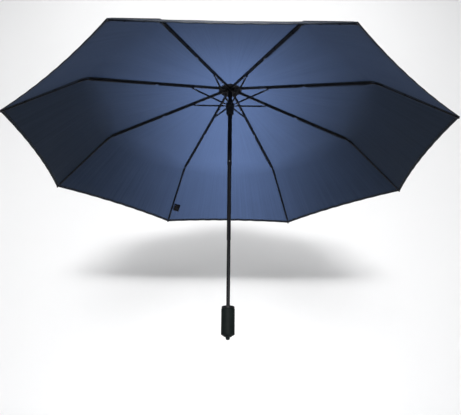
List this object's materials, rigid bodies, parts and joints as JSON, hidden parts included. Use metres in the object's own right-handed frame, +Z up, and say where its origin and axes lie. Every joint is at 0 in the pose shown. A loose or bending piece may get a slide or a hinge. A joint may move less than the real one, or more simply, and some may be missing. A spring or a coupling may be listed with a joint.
{
  "type": "folding umbrella",
  "caption": "Compact folding umbrella, open, with a shallow navy canopy, hinged black ribs, a telescopic black shaft and a short round handle.",
  "frame": {"origin": "the lowest point of the stud at the handle's end, on the shaft's axis", "axes": "+Z up the shaft towards the canopy; rib 1 stands at -22.5 degrees from +X and the ribs follow counter-clockwise seen from above, 45 degrees apart; -Y is the side the camera looks from"},
  "size_m": [0.9254, 0.9254, 0.6217],
  "materials": {
    "canopy": "satin woven polyester",
    "black_cloth": "woven",
    "black_tube": "gloss",
    "rib_steel": "semi-gloss",
    "bright_steel": "satin",
    "black_plastic": "semi-gloss",
    "grip": "matte soft-touch"
  },
  "bodies": {
    "handle": {"handle_grip": "grip", "handle_core": "black_plastic", "handle_collar": "grip", "end_nub": "black_plastic", "bottom_tube": "black_tube", "lower_catch_spring": "bright_steel"},
    "lower_button": {"lower_catch": "bright_steel"},
    "middle_shaft": {"mid_tube": "black_tube", "upper_catch_spring": "bright_steel"},
    "upper_button": {"upper_catch": "bright_steel"},
    "top_shaft": {"top_tube": "black_tube", "notch": "black_plastic", "notch_wire": "bright_steel", "inner_rosette": "black_cloth", "outer_rosette": "black_cloth", "top_cap": "black_plastic", "gore_1": "canopy", "gore_2": "canopy", "gore_3": "canopy", "gore_4": "canopy", "gore_5": "canopy", "gore_6": "canopy", "gore_7": "canopy", "gore_8": "canopy"},
    "runner_latch": {"runner_catch": "bright_steel"},
    "runner_slide": {"runner": "black_plastic", "runner_wire": "bright_steel"},
    "rib_1_inner": {"rib_inner_1": "rib_steel"},
    "rib_1_middle": {"rib_middle_1": "rib_steel"},
    "rib_1_outer": {"rib_outer_1": "rib_steel"},
    "strut_1": {"stretcher_1": "rib_steel"},
    "rib_2_inner": {"rib_inner_2": "rib_steel"},
    "rib_2_middle": {"rib_middle_2": "rib_steel"},
    "rib_2_outer": {"rib_outer_2": "rib_steel"},
    "strut_2": {"stretcher_2": "rib_steel"},
    "rib_3_inner": {"rib_inner_3": "rib_steel"},
    "rib_3_middle": {"rib_middle_3": "rib_steel"},
    "rib_3_outer": {"rib_outer_3": "rib_steel"},
    "strut_3": {"stretcher_3": "rib_steel"},
    "rib_4_inner": {"rib_inner_4": "rib_steel"},
    "rib_4_middle": {"rib_middle_4": "rib_steel"},
    "rib_4_outer": {"rib_outer_4": "rib_steel", "tie_strap": "black_cloth"},
    "strut_4": {"stretcher_4": "rib_steel"},
    "rib_5_inner": {"rib_inner_5": "rib_steel"},
    "rib_5_middle": {"rib_middle_5": "rib_steel"},
    "rib_5_outer": {"rib_outer_5": "rib_steel"},
    "strut_5": {"stretcher_5": "rib_steel"},
    "rib_6_inner": {"rib_inner_6": "rib_steel"},
    "rib_6_middle": {"rib_middle_6": "rib_steel"},
    "rib_6_outer": {"rib_outer_6": "rib_steel"},
    "strut_6": {"stretcher_6": "rib_steel"},
    "rib_7_inner": {"rib_inner_7": "rib_steel"},
    "rib_7_middle": {"rib_middle_7": "rib_steel"},
    "rib_7_outer": {"rib_outer_7": "rib_steel"},
    "strut_7": {"stretcher_7": "rib_steel"},
    "rib_8_inner": {"rib_inner_8": "rib_steel"},
    "rib_8_middle": {"rib_middle_8": "rib_steel"},
    "rib_8_outer": {"rib_outer_8": "rib_steel"},
    "strut_8": {"stretcher_8": "rib_steel"}
  },
  "joints": [
    {"name": "lower_tube_slide", "type": "slide", "parent": "handle", "child": "middle_shaft", "axis": [0, 0, -1], "range_m": [0, 0.1448]},
    {"name": "upper_tube_slide", "type": "slide", "parent": "middle_shaft", "child": "top_shaft", "axis": [0, 0, -1], "range_m": [0, 0.1802]},
    {"name": "lower_button_press", "type": "slide", "parent": "handle", "child": "lower_button", "axis": [0, 1, 0], "range_m": [-0.0009, 0], "stiffness_N_per_m": 400, "springref_m": 0.0005},
    {"name": "upper_button_press", "type": "slide", "parent": "middle_shaft", "child": "upper_button", "axis": [0, -1, 0], "range_m": [-0.0009, 0], "stiffness_N_per_m": 400, "springref_m": 0.0005},
    {"name": "runner_latch_press", "type": "slide", "parent": "top_shaft", "child": "runner_latch", "axis": [0, 1, 0], "range_m": [-0.0009, 0], "stiffness_N_per_m": 400, "springref_m": 0.0005},
    {"name": "canopy_fold", "type": "hinge", "parent": "top_shaft", "child": "rib_1_inner", "pos_m": [0.00785, -0.00325, 0.605], "axis": [0.3827, 0.9239, 0], "range_deg": [0, 72.5], "deforming": ["gore_1", "gore_2", "gore_3", "gore_4", "gore_5", "gore_6", "gore_7", "gore_8"]},
    {"name": "rib_1_mid_fold", "type": "hinge", "parent": "rib_1_inner", "child": "rib_1_middle", "pos_m": [0.16791, -0.06955, 0.5739], "axis": [0.3827, 0.9239, 0], "range_deg": [-176, 0]},
    {"name": "rib_1_elbow_fold", "type": "hinge", "parent": "rib_1_middle", "child": "rib_1_outer", "pos_m": [0.3178, -0.13164, 0.5385], "axis": [0.3827, 0.9239, 0], "range_deg": [0, 150]},
    {"name": "strut_1_turn", "type": "hinge", "parent": "rib_1_inner", "child": "strut_1", "pos_m": [0.0895, -0.03707, 0.58329], "axis": [0.3827, 0.9239, 0], "range_deg": [-146, 0]},
    {"name": "rib_2_fold", "type": "hinge", "parent": "top_shaft", "child": "rib_2_inner", "pos_m": [0.00785, 0.00325, 0.605], "axis": [-0.3827, 0.9239, 0], "range_deg": [0, 72.5]},
    {"name": "rib_2_mid_fold", "type": "hinge", "parent": "rib_2_inner", "child": "rib_2_middle", "pos_m": [0.16791, 0.06955, 0.5739], "axis": [-0.3827, 0.9239, 0], "range_deg": [-176, 0]},
    {"name": "rib_2_elbow_fold", "type": "hinge", "parent": "rib_2_middle", "child": "rib_2_outer", "pos_m": [0.3178, 0.13164, 0.5385], "axis": [-0.3827, 0.9239, 0], "range_deg": [0, 150]},
    {"name": "strut_2_turn", "type": "hinge", "parent": "rib_2_inner", "child": "strut_2", "pos_m": [0.0895, 0.03707, 0.58329], "axis": [-0.3827, 0.9239, 0], "range_deg": [-146, 0]},
    {"name": "rib_3_fold", "type": "hinge", "parent": "top_shaft", "child": "rib_3_inner", "pos_m": [0.00325, 0.00785, 0.605], "axis": [-0.9239, 0.3827, 0], "range_deg": [0, 72.5]},
    {"name": "rib_3_mid_fold", "type": "hinge", "parent": "rib_3_inner", "child": "rib_3_middle", "pos_m": [0.06955, 0.16791, 0.5739], "axis": [-0.9239, 0.3827, 0], "range_deg": [-176, 0]},
    {"name": "rib_3_elbow_fold", "type": "hinge", "parent": "rib_3_middle", "child": "rib_3_outer", "pos_m": [0.13164, 0.3178, 0.5385], "axis": [-0.9239, 0.3827, 0], "range_deg": [0, 150]},
    {"name": "strut_3_turn", "type": "hinge", "parent": "rib_3_inner", "child": "strut_3", "pos_m": [0.03707, 0.0895, 0.58329], "axis": [-0.9239, 0.3827, 0], "range_deg": [-146, 0]},
    {"name": "rib_4_fold", "type": "hinge", "parent": "top_shaft", "child": "rib_4_inner", "pos_m": [-0.00325, 0.00785, 0.605], "axis": [-0.9239, -0.3827, 0], "range_deg": [0, 72.5]},
    {"name": "rib_4_mid_fold", "type": "hinge", "parent": "rib_4_inner", "child": "rib_4_middle", "pos_m": [-0.06955, 0.16791, 0.5739], "axis": [-0.9239, -0.3827, 0], "range_deg": [-176, 0]},
    {"name": "rib_4_elbow_fold", "type": "hinge", "parent": "rib_4_middle", "child": "rib_4_outer", "pos_m": [-0.13164, 0.3178, 0.5385], "axis": [-0.9239, -0.3827, 0], "range_deg": [0, 150]},
    {"name": "strut_4_turn", "type": "hinge", "parent": "rib_4_inner", "child": "strut_4", "pos_m": [-0.03707, 0.0895, 0.58329], "axis": [-0.9239, -0.3827, 0], "range_deg": [-146, 0]},
    {"name": "rib_5_fold", "type": "hinge", "parent": "top_shaft", "child": "rib_5_inner", "pos_m": [-0.00785, 0.00325, 0.605], "axis": [-0.3827, -0.9239, 0], "range_deg": [0, 72.5]},
    {"name": "rib_5_mid_fold", "type": "hinge", "parent": "rib_5_inner", "child": "rib_5_middle", "pos_m": [-0.16791, 0.06955, 0.5739], "axis": [-0.3827, -0.9239, 0], "range_deg": [-176, 0]},
    {"name": "rib_5_elbow_fold", "type": "hinge", "parent": "rib_5_middle", "child": "rib_5_outer", "pos_m": [-0.3178, 0.13164, 0.5385], "axis": [-0.3827, -0.9239, 0], "range_deg": [0, 150]},
    {"name": "strut_5_turn", "type": "hinge", "parent": "rib_5_inner", "child": "strut_5", "pos_m": [-0.0895, 0.03707, 0.58329], "axis": [-0.3827, -0.9239, 0], "range_deg": [-146, 0]},
    {"name": "rib_6_fold", "type": "hinge", "parent": "top_shaft", "child": "rib_6_inner", "pos_m": [-0.00785, -0.00325, 0.605], "axis": [0.3827, -0.9239, 0], "range_deg": [0, 72.5]},
    {"name": "rib_6_mid_fold", "type": "hinge", "parent": "rib_6_inner", "child": "rib_6_middle", "pos_m": [-0.16791, -0.06955, 0.5739], "axis": [0.3827, -0.9239, 0], "range_deg": [-176, 0]},
    {"name": "rib_6_elbow_fold", "type": "hinge", "parent": "rib_6_middle", "child": "rib_6_outer", "pos_m": [-0.3178, -0.13164, 0.5385], "axis": [0.3827, -0.9239, 0], "range_deg": [0, 150]},
    {"name": "strut_6_turn", "type": "hinge", "parent": "rib_6_inner", "child": "strut_6", "pos_m": [-0.0895, -0.03707, 0.58329], "axis": [0.3827, -0.9239, 0], "range_deg": [-146, 0]},
    {"name": "rib_7_fold", "type": "hinge", "parent": "top_shaft", "child": "rib_7_inner", "pos_m": [-0.00325, -0.00785, 0.605], "axis": [0.9239, -0.3827, 0], "range_deg": [0, 72.5]},
    {"name": "rib_7_mid_fold", "type": "hinge", "parent": "rib_7_inner", "child": "rib_7_middle", "pos_m": [-0.06955, -0.16791, 0.5739], "axis": [0.9239, -0.3827, 0], "range_deg": [-176, 0]},
    {"name": "rib_7_elbow_fold", "type": "hinge", "parent": "rib_7_middle", "child": "rib_7_outer", "pos_m": [-0.13164, -0.3178, 0.5385], "axis": [0.9239, -0.3827, 0], "range_deg": [0, 150]},
    {"name": "strut_7_turn", "type": "hinge", "parent": "rib_7_inner", "child": "strut_7", "pos_m": [-0.03707, -0.0895, 0.58329], "axis": [0.9239, -0.3827, 0], "range_deg": [-146, 0]},
    {"name": "rib_8_fold", "type": "hinge", "parent": "top_shaft", "child": "rib_8_inner", "pos_m": [0.00325, -0.00785, 0.605], "axis": [0.9239, 0.3827, 0], "range_deg": [0, 72.5]},
    {"name": "rib_8_mid_fold", "type": "hinge", "parent": "rib_8_inner", "child": "rib_8_middle", "pos_m": [0.06955, -0.16791, 0.5739], "axis": [0.9239, 0.3827, 0], "range_deg": [-176, 0]},
    {"name": "rib_8_elbow_fold", "type": "hinge", "parent": "rib_8_middle", "child": "rib_8_outer", "pos_m": [0.13164, -0.3178, 0.5385], "axis": [0.9239, 0.3827, 0], "range_deg": [0, 150]},
    {"name": "strut_8_turn", "type": "hinge", "parent": "rib_8_inner", "child": "strut_8", "pos_m": [0.03707, -0.0895, 0.58329], "axis": [0.9239, 0.3827, 0], "range_deg": [-146, 0]},
    {"name": "runner_turn", "type": "hinge", "parent": "strut_1", "child": "runner_slide", "pos_m": [0.00785, -0.00325, 0.56159], "axis": [0.3827, 0.9239, 0], "range_deg": [0, 73.5]}
  ],
  "couplings": [
    {"joint": "rib_1_mid_fold", "follows": "canopy_fold", "ratio": -2.42},
    {"joint": "rib_1_elbow_fold", "follows": "canopy_fold", "ratio": 2.06},
    {"joint": "strut_1_turn", "follows": "canopy_fold", "ratio": -2},
    {"joint": "rib_2_fold", "follows": "canopy_fold", "ratio": 1},
    {"joint": "rib_2_mid_fold", "follows": "canopy_fold", "ratio": -2.42},
    {"joint": "rib_2_elbow_fold", "follows": "canopy_fold", "ratio": 2.06},
    {"joint": "strut_2_turn", "follows": "canopy_fold", "ratio": -2},
    {"joint": "rib_3_fold", "follows": "canopy_fold", "ratio": 1},
    {"joint": "rib_3_mid_fold", "follows": "canopy_fold", "ratio": -2.42},
    {"joint": "rib_3_elbow_fold", "follows": "canopy_fold", "ratio": 2.06},
    {"joint": "strut_3_turn", "follows": "canopy_fold", "ratio": -2},
    {"joint": "rib_4_fold", "follows": "canopy_fold", "ratio": 1},
    {"joint": "rib_4_mid_fold", "follows": "canopy_fold", "ratio": -2.42},
    {"joint": "rib_4_elbow_fold", "follows": "canopy_fold", "ratio": 2.06},
    {"joint": "strut_4_turn", "follows": "canopy_fold", "ratio": -2},
    {"joint": "rib_5_fold", "follows": "canopy_fold", "ratio": 1},
    {"joint": "rib_5_mid_fold", "follows": "canopy_fold", "ratio": -2.42},
    {"joint": "rib_5_elbow_fold", "follows": "canopy_fold", "ratio": 2.06},
    {"joint": "strut_5_turn", "follows": "canopy_fold", "ratio": -2},
    {"joint": "rib_6_fold", "follows": "canopy_fold", "ratio": 1},
    {"joint": "rib_6_mid_fold", "follows": "canopy_fold", "ratio": -2.42},
    {"joint": "rib_6_elbow_fold", "follows": "canopy_fold", "ratio": 2.06},
    {"joint": "strut_6_turn", "follows": "canopy_fold", "ratio": -2},
    {"joint": "rib_7_fold", "follows": "canopy_fold", "ratio": 1},
    {"joint": "rib_7_mid_fold", "follows": "canopy_fold", "ratio": -2.42},
    {"joint": "rib_7_elbow_fold", "follows": "canopy_fold", "ratio": 2.06},
    {"joint": "strut_7_turn", "follows": "canopy_fold", "ratio": -2},
    {"joint": "rib_8_fold", "follows": "canopy_fold", "ratio": 1},
    {"joint": "rib_8_mid_fold", "follows": "canopy_fold", "ratio": -2.42},
    {"joint": "rib_8_elbow_fold", "follows": "canopy_fold", "ratio": 2.06},
    {"joint": "strut_8_turn", "follows": "canopy_fold", "ratio": -2},
    {"joint": "runner_turn", "follows": "canopy_fold", "ratio": 1}
  ]
}
